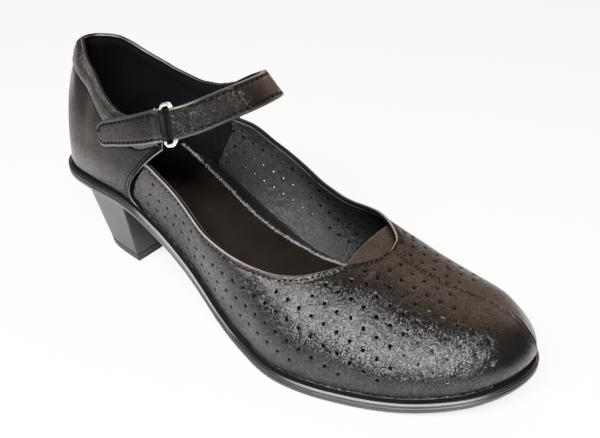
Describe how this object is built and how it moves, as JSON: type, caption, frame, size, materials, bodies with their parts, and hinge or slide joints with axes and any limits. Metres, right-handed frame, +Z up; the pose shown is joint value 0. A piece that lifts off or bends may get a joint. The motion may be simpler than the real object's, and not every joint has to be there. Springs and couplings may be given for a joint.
{
  "type": "block heel mary jane shoe",
  "caption": "Right closed-toe leather court shoe with a strap over the instep, a chrome ring and a tapered block heel.",
  "frame": {"origin": "centre of the bounding box in plan, on the floor the shoe stands on", "axes": "+X to the toe, +Y to the inner (big toe) side, +Z up"},
  "size_m": [0.2468, 0.0952, 0.1076],
  "materials": {
    "black_leather": "semi-gloss pebbled leather",
    "throat_leather": "semi-gloss pebbled leather",
    "sock_lining": "satin dark brown",
    "sole_rubber": "moulded, semi-gloss edge",
    "heel_cover": "smooth covered heel",
    "heel_rubber": "matt rubber",
    "strap_leather": "semi-gloss pebbled leather",
    "tab_leather": "semi-gloss pebbled leather",
    "ring_chrome": "polished wire"
  },
  "bodies": {
    "root": {"upper": "black_leather", "throat_insert": "throat_leather", "insole": "sock_lining", "outsole": "sole_rubber", "heel_block": "heel_cover", "heel_top_piece": "heel_rubber", "strap": "strap_leather", "closure_tab": "tab_leather", "ring": "ring_chrome"}
  },
  "joints": []
}
